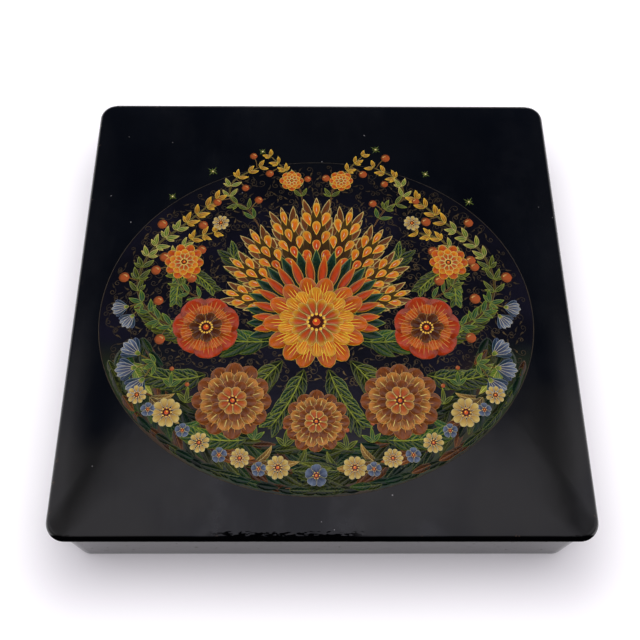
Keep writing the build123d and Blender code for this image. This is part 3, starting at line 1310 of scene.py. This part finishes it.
@dataclass(frozen=True)
class Blossom(Motif):
    """A flower seen from above, in rings of petals round a dotted heart."""

    flower: Flower
    x: float
    y: float
    radius: float
    loose_angle: float = 1.5
    loose_reach: float = 0.05
    loose_bend: float = 10.0
    ray_from: float = 0.45
    ray_to: float = 0.90
    ray_shortening: float = 0.05
    ray_fan: float = 68.0
    ray_width: float = 0.26
    dot_share: float = 0.34
    bead_share: float = 0.9

    def point(self, angle: float, share: float) -> np.ndarray:
        """The point at an angle in degrees and a share of the radius out."""
        return around((self.x, self.y), angle, share * self.radius)

    def paint(self, brush: Brush) -> None:
        """Paints the petals from the outside in, each with its light lines, and then the heart.

        Args:
            brush: The painter's hand.
        """
        coat, tiers, heart, dots = self.flower.value
        for level, tier in enumerate(tiers):
            depth = tier.reach - tier.start
            for i in range(tier.petals):
                angle = 360 / tier.petals * (i + tier.turn) + brush.vary(self.loose_angle)
                length = depth * self.radius * (1 + brush.vary(self.loose_reach))
                line = sweep(self.point(angle, tier.start), angle, length, brush.vary(self.loose_bend))
                brush.stroke(coat, line, tier.width * self.radius, tier.look, step=2 * level + i % 2, rings=9)
                for ray in tier.rays:
                    near = tier.start + depth * self.ray_from
                    far = tier.reach * (self.ray_to - self.ray_shortening * abs(ray))
                    turned = angle + ray * self.ray_fan / tier.petals
                    mark = np.array([self.point(turned, share) for share in (near, (near + far) / 2, far)])
                    brush.stroke(Coat.LIGHTS, mark, self.ray_width, tier.look.fine_line(), step=level,
                                 rings=4)
        self.paint_heart(brush, heart, dots)

    def paint_heart(self, brush: Brush, share: float, dots: int) -> None:
        """Paints the heart: a dark disc, a ring of dots and a raised middle.

        Args:
            brush: The painter's hand.
            share: The heart's share of the radius.
            dots: How many dots are in the ring.
        """
        heart = self.radius * share
        brush.dot(Coat.HEARTS, (self.x, self.y), heart * 2, Looks.DISC)
        for i in range(dots):
            spot = self.point(360 * i / dots, share * 0.98)
            brush.dot(Coat.HEARTS, spot, heart * self.dot_share, Looks.YELLOW_DOT, step=1)
        brush.dot(Coat.HEARTS, (self.x, self.y), heart * self.bead_share, Looks.RED_DOT, step=2)
        light = (self.x - heart * 0.1, self.y + heart * 0.15)
        brush.dot(Coat.LIGHTS, light, heart * self.dot_share, Looks.YELLOW_DOT, step=2)


@dataclass(frozen=True)
class Plume(Motif):
    """A long palmette leaf built of overlapping golden scales.

    The lengths of its tips and scales are shares of its length, and their widths and places aside are
    shares of its width.
    """

    heading: float
    length: float
    width: float
    bend: float = 0.0
    root: Pair = (0.0, 2.0)
    rows: int = 6
    top_row: float = 0.84
    rows_over: float = 0.42
    tip_length: float = 0.20
    tip_width: float = 0.26
    tip_aside: float = 0.16
    tip_fan: float = 30.0
    tip_opening: float = 3.0
    tip_bend: float = -18.0
    scale_length: float = 0.150
    scale_shortening: float = 0.006
    scale_width: float = 0.30
    top_scale_width: float = 0.26
    scale_aside: float = 0.42
    scale_fan: float = 30.0
    scale_bend: float = 20.0
    red_rows: int = 2
    tick_width: float = 0.30

    def paint(self, brush: Brush) -> None:
        """Paints the tips from the root up, then the dark body, then the scales from the tip down.

        Args:
            brush: The painter's hand.
        """
        coat = Coat.PLUME_LEAVES
        line = sweep(self.root, self.heading, self.length, self.bend)
        rows = range(self.rows)
        places = [station(line, self.top_row - self.rows_over * row / (self.rows - 1)) for row in rows]
        for row, (spot, way, heading) in reversed(list(enumerate(places))):
            for turn in ((-1, 1) if row else (-1, 0, 1)):
                root = spot + np.array((-way[1], way[0])) * self.width * self.tip_aside * turn
                fan = turn * (self.tip_fan + self.tip_opening * row)
                tip = sweep(root, heading + fan, self.length * self.tip_length, turn * self.tip_bend)
                brush.stroke(coat, tip, self.width * self.tip_width, Looks.PLUME_TIP, rings=8)
        brush.stroke(coat, line, self.width, Looks.PLUME_BODY, step=1, rings=14, sides=10)
        for row, (spot, way, heading) in enumerate(places):
            size = self.length * (self.scale_length - self.scale_shortening * row)
            width = self.width * (self.scale_width if row else self.top_scale_width)
            look = Looks.PLUME_ROOT if row >= self.rows - self.red_rows else Looks.PLUME_SCALE
            for aside in ((-0.5, 0.5) if row % 2 else (0.0,)):
                root = spot + np.array((-way[1], way[0])) * self.width * self.scale_aside * aside
                scale = sweep(root, heading + aside * self.scale_fan, size, aside * self.scale_bend)
                brush.stroke(coat, scale, width, look, step=2 + row % 2, rings=9)
                tick = sweep(root + way * size * 0.38, heading + aside * 34, size * 0.34)
                brush.stroke(coat, tick, self.tick_width, Looks.CREAM_DROP, step=4, rings=4)


@dataclass(frozen=True)
class Collar(Motif):
    """Two rings of pointed leaves that stand out from under the middle rosette."""

    middle: Pair = (0.0, -3.0)
    start: float = 13.0
    reach: float = 23.5
    rise: float = 5.0
    first: float = -14.0
    leaves: int = 17
    rings: tuple[tuple[Look, float, float], ...] = (
        (Looks.COLLAR_LEAF, 0.0, 4.4), (Looks.COLLAR_FLAME, 2.2, 3.4))

    def paint(self, brush: Brush) -> None:
        """Paints green leaves and, between and over them, red ones.

        Args:
            brush: The painter's hand.
        """
        gap = (180 - 2 * self.first) / (self.leaves - 1)
        for ring, (look, shorter, width) in enumerate(self.rings):
            for i in range(self.leaves - ring):
                angle = self.first + gap * (i + ring / 2)
                reach = self.reach + self.rise * max(math.sin(math.radians(angle)), 0.0) - shorter
                line = sweep(around(self.middle, angle, self.start), angle, reach - self.start)
                brush.stroke(Coat.PLUME_LEAVES, line, width, look, step=5 + ring, rings=9)


@dataclass(frozen=True)
class Acanthus(Motif):
    """A broad curling leaf with lobes along both sides."""

    x: float
    y: float
    heading: float
    length: float
    width: float
    bend: float
    look: Look
    lobes: int = 6
    first_lobe: float = 0.12
    lobes_over: float = 0.70
    lobe_length: float = 0.34
    lobe_shortening: float = 0.18
    longest_lobe: float = 0.35
    lobe_width: float = 0.42
    lobe_fan: float = 40.0
    lobe_bend: float = -26.0
    body_light: float = 0.38
    lobe_lights: tuple[tuple[int, float], ...] = ((-1, 0.52), (1, 0.92))
    rib_width: float = 0.34

    def paint(self, brush: Brush) -> None:
        """Paints the body, then the lobes from the root out, then a light midrib.

        Args:
            brush: The painter's hand.
        """
        line = sweep((self.x, self.y), self.heading, self.length, self.bend)
        brush.stroke(Coat.BROAD_LEAVES, line, self.width, self.look, self.body_light, rings=14, sides=10)
        for i in range(self.lobes):
            share = self.first_lobe + self.lobes_over * i / (self.lobes - 1)
            spot, _, heading = station(line, share)
            size = self.length * (self.lobe_length - self.lobe_shortening * abs(share - self.longest_lobe))
            for turn, light in self.lobe_lights:
                brush.leaf(Coat.BROAD_LEAVES, spot, heading + turn * self.lobe_fan, size,
                           self.width * self.lobe_width, self.look, turn * self.lobe_bend, 1 + i % 2, light)
        rib = follow(line, np.linspace(0.03, 0.90, 14))[0]
        brush.stroke(Coat.LEAF_RIBS, rib, self.rib_width, self.look.fine_line(), rings=14)


@dataclass(frozen=True)
class BerrySpray(Motif):
    """A thin branch with pairs of leaves, and berries on stalks."""

    points: tuple[Pair, ...]
    looks: tuple[Look, ...]
    stem_width: float = 0.9
    leaf_length: float = 5.6
    leaf_width: float = 1.9
    gap: float = 4.6
    berry_gap: float = 11.0
    berry: float = 1.75
    stalk: float = 5.2
    stalk_width: float = 0.34
    stalk_fan: float = 68.0
    stalk_bend: float = 30.0
    leaf_fan: float = 46.0
    leaf_bend: float = -24.0
    loose_fan: float = 14.0
    second_leaf: float = 0.5
    second_fan: float = 34.0
    second_bend: float = -20.0

    def paint(self, brush: Brush) -> None:
        """Paints the stem, then the leaves and the berries along it.

        Args:
            brush: The painter's hand.
        """
        line = through(self.points)
        brush.stroke(Coat.STEMS, line, self.stem_width, Looks.STEM, rings=3 * len(self.points) + 8)
        length = follow(line, np.array([0.0]))[2]
        pairs = int(length / self.gap)
        for i in range(1, pairs + 1):
            self.paint_leaves(brush, line, i / pairs, i % 2)
        for i in range(1, int(length / self.berry_gap) + 1):
            spot, _, heading = station(line, i * self.berry_gap / length - 0.03)
            turn = 1 if i % 2 else -1
            heading += turn * (self.stalk_fan + brush.vary(self.loose_fan))
            stalk = sweep(spot, heading, self.stalk + brush.vary(0.8), turn * self.stalk_bend, steps=8)
            brush.stroke(Coat.STEMS, stalk, self.stalk_width, Looks.STEM, step=1, rings=6)
            brush.berry(stalk[-1], self.berry * (1 + brush.vary(0.12)))

    def paint_leaves(self, brush: Brush, line: np.ndarray, share: float, step: int) -> None:
        """Paints one pair of leaves, some with a smaller one beside them.

        Args:
            brush: The painter's hand.
            line: The stem.
            share: How far along the stem they grow.
            step: How many thin steps they lie above the coat's level.
        """
        coat = Coat.SPRAY_LEAVES
        spot, _, heading = station(line, share)
        look = self.looks[min(int(share * len(self.looks)), len(self.looks) - 1)]
        size = self.leaf_length * (1.08 - 0.32 * share)
        for turn in (-1, 1):
            angle = heading + turn * (self.leaf_fan + brush.vary(self.loose_fan))
            brush.leaf(coat, spot, angle, size, self.leaf_width, look, turn * self.leaf_bend, step)
            if brush.random.random() < self.second_leaf:
                brush.leaf(coat, spot, angle + turn * self.second_fan, size * 0.7, self.leaf_width * 0.8,
                           look, turn * self.second_bend)


@dataclass(frozen=True)
class BellCluster(Motif):
    """Blue bell flowers hanging from one stem.

    The lengths of its parts, and the widths of all but its stalks, are shares of its size.
    """

    x: float
    y: float
    heading: float
    size: float
    bells: int = 3
    fan: float = 44.0
    stalk_length: float = 0.8
    stalk_width: float = 0.5
    stalk_bend: float = -12.0
    petal_fan: float = 13.0
    petal_width: float = 0.34
    petal_bend: float = 9.0
    cup_fan: float = 24.0
    cup_length: float = 0.30
    cup_width: float = 0.12
    cup_bend: float = -20.0
    leaf_fan: float = 34.0
    leaf_length: float = 0.6
    leaf_width: float = 0.2
    leaf_bend: float = -26.0

    def paint(self, brush: Brush) -> None:
        """Paints each bell on its stalk, with its dark outer petals first.

        Args:
            brush: The painter's hand.
        """
        size = self.size
        for i in range(self.bells):
            angle = self.heading + self.fan * (i - (self.bells - 1) / 2)
            stalk = sweep((self.x, self.y), angle, size * self.stalk_length, self.stalk_bend)
            brush.stroke(Coat.STEMS, stalk, self.stalk_width, Looks.STEM, rings=6)
            for k in (-2, 2, -1, 1, 0):
                length = size * (1 - 0.05 * abs(k))
                petal = sweep(stalk[-1], angle + self.petal_fan * k, length, self.petal_bend * k)
                look = Looks.BELL_DARK if abs(k) == 2 else Looks.BELL
                brush.stroke(Coat.BELL_PETALS, petal, size * self.petal_width, look, step=2 - abs(k), rings=8)
            for turn in (-1, 0, 1):
                heading, length = angle + self.cup_fan * turn, size * self.cup_length
                cup = sweep(stalk[-1], heading, length, self.cup_bend * turn)
                brush.stroke(Coat.HEARTS, cup, size * self.cup_width, Looks.SPRING, rings=5)
            for turn in (-1, 1):
                brush.leaf(Coat.SPRAY_LEAVES, (self.x, self.y), angle + self.leaf_fan * turn,
                           size * self.leaf_length, size * self.leaf_width, Looks.GRASS,
                           self.leaf_bend * turn)


@dataclass(frozen=True)
class Garland(Motif):
    """The dense band of leaves that follows the near edge of the field.

    Its angles run from the band's left tip to the middle, and its places are mirrored to the right half.
    """

    rows: tuple[tuple[float, float, float], ...] = ((0.79, 8.0, 2.8), (0.885, 8.5, 3.0), (0.966, 7.5, 2.7))
    looks: tuple[Look, ...] = (Looks.PINE, Looks.TEAL, Looks.OLIVE, Looks.GRASS, Looks.EARTH, Looks.OLIVE,
                               Looks.PINE)
    scrolls: tuple[tuple[float, Look], ...] = (
        (-161, Looks.SPRING), (-147, Looks.OCHRE), (-133, Looks.GRASS), (-120, Looks.EARTH),
        (-108, Looks.OCHRE), (-97, Looks.OLIVE))
    scroll_leaves: tuple[tuple[float, float, float, int], ...] = (
        (-20, 9.5, -34, 2), (30, 9, -60, 2), (4, 14, -22, 3))
    grasses: tuple[float, ...] = (-148, -138.5, -129, -119.5, -110, -100.5)
    first_angle: float = -170.0
    last_angle: float = -88.0
    leaf_gap: float = 3.1
    mean_radius: float = 68.0
    leaf_light: float = 0.36
    loose_light: float = 0.22
    scroll_share: float = 0.87
    scroll_slimness: float = 0.28
    grass_share: float = 0.75
    grass_heading: float = 94.0
    grass_fan: float = 38.0
    grass_length: float = 5.6
    grass_width: float = 1.6
    grass_berry: Pair = (6.4, 0.8)

    def spot(self, brush: Brush, angle: float, share: float) -> np.ndarray:
        """The point on the right half that mirrors an angle and a share of the way out."""
        return brush.place.point(angle, share) * np.array((-1.0, 1.0))

    def heading(self, brush: Brush, angle: float) -> float:
        """The direction along the field's edge, from the middle of the band towards its right tip."""
        turn = math.radians(angle)
        return 180 - math.degrees(math.atan2(brush.place.half_depth * math.cos(turn),
                                             -brush.place.half_width * math.sin(turn)))

    def paint(self, brush: Brush) -> None:
        """Paints rows of small leaves, then scrolled leaves over them, then grass blades.

        Args:
            brush: The painter's hand.
        """
        for row, (share, length, width) in enumerate(self.rows):
            leans, loose = ((-30, 16), 0.010) if row < 2 else ((1,), 0.004)
            angle = self.first_angle + 3 * row
            while angle < self.last_angle:
                spot = self.spot(brush, angle, share + brush.vary(loose))
                for lean in leans:
                    brush.leaf(Coat.BACK_LEAVES, spot, self.heading(brush, angle) - lean, length, width,
                               brush.random.choice(self.looks), -8, row + (lean > 0),
                               self.leaf_light + brush.vary(self.loose_light))
                angle += math.degrees(self.leaf_gap / self.mean_radius) * (1 + brush.vary(0.2))
        for angle, look in self.scrolls:
            spot = self.spot(brush, angle, self.scroll_share)
            heading = self.heading(brush, angle)
            for lean, size, bend, step in self.scroll_leaves:
                width = size * self.scroll_slimness
                brush.leaf(Coat.BACK_LEAVES, spot, heading - lean, size, width, look, bend, step)
        for number, angle in enumerate(self.grasses):
            spot = self.spot(brush, angle + brush.vary(1.5), self.grass_share + brush.vary(0.02))
            look = Looks.OLIVE if number % 2 else Looks.GRASS
            for lean in (-self.grass_fan, 0, self.grass_fan):
                brush.leaf(Coat.SPRAY_LEAVES, spot, self.grass_heading + lean,
                           self.grass_length - abs(lean) * 0.03, self.grass_width, look, lean * 0.6)
            rise, radius = self.grass_berry
            brush.berry((spot[0], spot[1] + rise), radius)


@dataclass(frozen=True)
class GiltGround(Motif):
    """The hairline round the field, the small gold curls on its dark part, and the sparks above it."""

    border_share: float = 0.992
    border_width: float = 0.26
    border_light: float = 0.95
    border_fade: float = 0.80
    arc: int = 15
    overlap: int = 3
    curl_gap: float = 2.45
    tries: int = 9000
    curl_edge: float = 0.95
    curl_front: float = -26.0
    curl_light: float = 1.10
    curl_fade: float = 0.60
    curl_length: float = 6.0
    curl_width: float = 0.27
    curl_turns: Pair = (330.0, 520.0)
    curl_power: float = 1.7
    comma_length: float = 2.2
    comma_width: float = 0.58
    sparks: tuple[tuple[float, float, float], ...] = (
        (-52, 47, 1.5), (-38, 58, 1.9), (-20, 67, 1.4), (22, 68, 1.8), (40, 57, 1.5), (55, 45, 1.9))
    spark_rays: int = 8
    ray_width: float = 0.34
    spark_light: float = 0.6
    spark_dot: float = 0.6

    def paint(self, brush: Brush) -> None:
        """Paints the hairline, then the curls, then the sparks.

        Args:
            brush: The painter's hand.
        """
        self.paint_border(brush)
        self.paint_curls(brush)
        self.paint_sparks(brush)

    def paint_border(self, brush: Brush) -> None:
        """Draws the hairline in overlapping arcs that fade towards the far side.

        Args:
            brush: The painter's hand.
        """
        for start in range(0, 360, self.arc):
            far = max(math.sin(math.radians(start + self.arc / 2)), 0.0)
            light = self.border_light - self.border_fade * far
            angles = np.linspace(start - self.overlap, start + self.arc + self.overlap, 22)
            line = np.array([brush.place.point(angle, self.border_share) for angle in angles])
            brush.stroke(Coat.BORDER, line, self.border_width, Looks.BORDER_LINE, light, rings=20)

    def paint_curls(self, brush: Brush) -> None:
        """Scatters spirals and commas evenly over the field, away from its edge and the near garland.

        Args:
            brush: The painter's hand.
        """
        coat, draw = Coat.CURLS, brush.random
        spots: list[Pair] = []
        for _ in range(self.tries):
            x, y = brush.vary(brush.place.half_width), brush.vary(brush.place.half_depth)
            out = math.hypot(x / brush.place.half_width, y / brush.place.half_depth)
            outside = out > self.curl_edge or y < self.curl_front
            if outside or any(math.hypot(x - a, y - b) < self.curl_gap for a, b in spots):
                continue
            spots.append((x, y))
            heading, turn, size = draw.uniform(0, 360), draw.choice((-1, 1)), draw.uniform(0.8, 1.25)
            dim = self.curl_light - self.curl_fade * out
            bend = turn * draw.uniform(*self.curl_turns)
            curl = sweep((x, y), heading, self.curl_length * size, bend, self.curl_power, 30)
            brush.stroke(coat, curl, self.curl_width, Looks.GILT_LINE, dim * draw.uniform(0.35, 1.05),
                         rings=14, sides=4)
            comma = sweep((x, y), heading + turn * 150, self.comma_length * size, turn * 60)
            brush.stroke(coat, comma, self.comma_width, Looks.GILT_DROP, dim * draw.uniform(0.35, 1.0),
                         rings=5, sides=4)

    def paint_sparks(self, brush: Brush) -> None:
        """Sets small green-gold sparks in the dark above the field.

        Args:
            brush: The painter's hand.
        """
        for x, y, size in self.sparks:
            for i in range(self.spark_rays):
                ray = sweep((x, y), 360 / self.spark_rays * i + 10, size * (1.2 if i % 2 else 0.8))
                brush.stroke(Coat.LIGHTS, ray, self.ray_width, Looks.SPARK, self.spark_light, rings=4)
            brush.dot(Coat.LIGHTS, (x, y), self.spark_dot, Looks.PALE_DOT, step=1)


@dataclass(frozen=True)
class Painting:
    """The whole folk-ornament painting: a mirror-symmetric bouquet over a near garland."""

    place: PaintedField = PaintedField()
    seed: int = 11
    leaves: tuple[Acanthus, ...] = (
        Acanthus(14, -10, -6, 33, 8.5, 30, Looks.GRASS), Acanthus(11, -17, -44, 26, 8, -24, Looks.OLIVE),
        Acanthus(4, -20, -74, 24, 7, 26, Looks.TEAL), Acanthus(36, -22, -20, 22, 7.5, 44, Looks.TEAL),
        Acanthus(40, -10, 14, 22, 6.5, 40, Looks.OLIVE), Acanthus(12, 8, 20, 27, 7, 46, Looks.TEAL),
        Acanthus(45, 17, 206, 14, 5.0, 28, Looks.TEAL), Acanthus(46, 17, -72, 14, 5.0, -24, Looks.GRASS),
        Acanthus(22, -44, -8, 20, 6, 30, Looks.GRASS))
    climb: tuple[Look, ...] = (Looks.TEAL, Looks.GRASS, Looks.OLIVE, Looks.SPRING, Looks.AUTUMN)
    bells: tuple[BellCluster, ...] = (BellCluster(53, -18, -8, 7.5), BellCluster(59, 4, -30, 6.0, 2))
    plumes: tuple[Plume, ...] = (Plume(2, 32, 8.5, 20), Plume(25, 35, 9, 16), Plume(47, 38, 9.5, 12),
                                 Plume(68.5, 41, 9.5, 8))
    middle_plume: Plume = Plume(90, 43, 10.5)
    paired: tuple[Blossom, ...] = (
        Blossom(Flower.POPPY, 37, -5, 11.5), Blossom(Flower.PEONY, 27, -31, 13),
        Blossom(Flower.ROSETTE, 46, 20, 7), Blossom(Flower.DAISY, 48, -35, 5.0),
        Blossom(Flower.DAISY, 12, -53, 3.8), Blossom(Flower.DAISY, 24, -50, 3.2),
        Blossom(Flower.SMALL_DAISY, 58, -29, 3.2), Blossom(Flower.SMALL_DAISY, 37, -45, 3.4),
        Blossom(Flower.FORGET_ME_NOT, 30.5, -49, 2.5), Blossom(Flower.FORGET_ME_NOT, 18, -53.5, 2.4),
        Blossom(Flower.FORGET_ME_NOT, 42.5, -41, 2.4), Blossom(Flower.FORGET_ME_NOT, 54, -34, 2.4),
        Blossom(Flower.SMALL_ROSETTE, 9, 54, 4.4), Blossom(Flower.SMALL_DAISY, 34, 36, 3.0))
    middle: tuple[Blossom, ...] = (
        Blossom(Flower.PEONY, 0, -38, 10.5), Blossom(Flower.FORGET_ME_NOT, 0, -55.5, 3.6),
        Blossom(Flower.GREAT_ROSETTE, 0, -3, 17.5))

    def sprays(self) -> tuple[BerrySpray, ...]:
        """The berry branches that climb each side, the nearest to the edge first."""
        return (
            BerrySpray(((30, -6), (50, -4), (61, 8), (58, 24), (46, 36), (36, 46)), self.climb),
            BerrySpray(((36, 4), (46, 10), (50, 20), (44, 29), (36, 32)), self.climb[1:], 0.7, 4.8, 1.6, 4.2),
            BerrySpray(((20, 34), (25, 42), (31, 46), (30, 54), (21, 60)), self.climb[1:], 0.7, 4.8, 1.6,
                       4.2, 9.0, 1.5),
            BerrySpray(((5, 43), (6, 50), (11, 58), (17, 65)), self.climb[2:], 0.6, 4.2, 1.5, 3.8, 10.0, 1.4))

    def build(self, top: LidTop) -> None:
        """Paints every motif, the lowest first, and turns the coats into pieces.

        Args:
            top: The lid's top.
        """
        brush = Brush(top, self.place, self.seed)
        GiltGround().paint(brush)
        brush.paint_pairs(Garland())
        brush.paint_pairs(*self.leaves)
        brush.paint_pairs(*self.sprays(), *self.bells)
        brush.paint_pairs(*self.plumes)
        self.middle_plume.paint(brush)
        Collar().paint(brush)
        brush.paint_pairs(*self.paired)
        for blossom in self.middle:
            blossom.paint(brush)
        for layer in brush.coats.values():
            layer.build()
        StrokeForm.clear()


@dataclass(frozen=True)
class Box:
    """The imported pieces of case, lid and hinge, each given its finish."""

    finishes: tuple[tuple[str, Finish], ...] = (
        ("base_plate", CaseLacquer()), ("body_walls", CaseLacquer()), ("lid_plate", LidLacquer()),
        ("lid_locating_frame", RedLacquer()), ("hinge_knuckle_left", HingeLacquer()),
        ("hinge_knuckle_right", HingeLacquer()), ("hinge_knuckle_lid", HingeLacquer()),
        ("hinge_pin", DrawnSteel()))

    def dress(self, nodes: dict[str, bpy.types.Object]) -> None:
        """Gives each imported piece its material.

        Args:
            nodes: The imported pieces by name.
        """
        for name, finish in self.finishes:
            for slot in nodes[name].material_slots:
                slot.material = finish.build()
            LOG.info("%s: %s", name, finish.name)


def main() -> None:
    """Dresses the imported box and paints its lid."""
    logging.basicConfig(level=logging.INFO, format="%(name)s: %(message)s")
    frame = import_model()
    PhotoCamera().build()
    Studio().build()
    Box().dress(frame["nodes"])
    Painting().build(LidTop(frame["nodes"]["lid_plate"]))


if __name__ == "__main__":
    main()
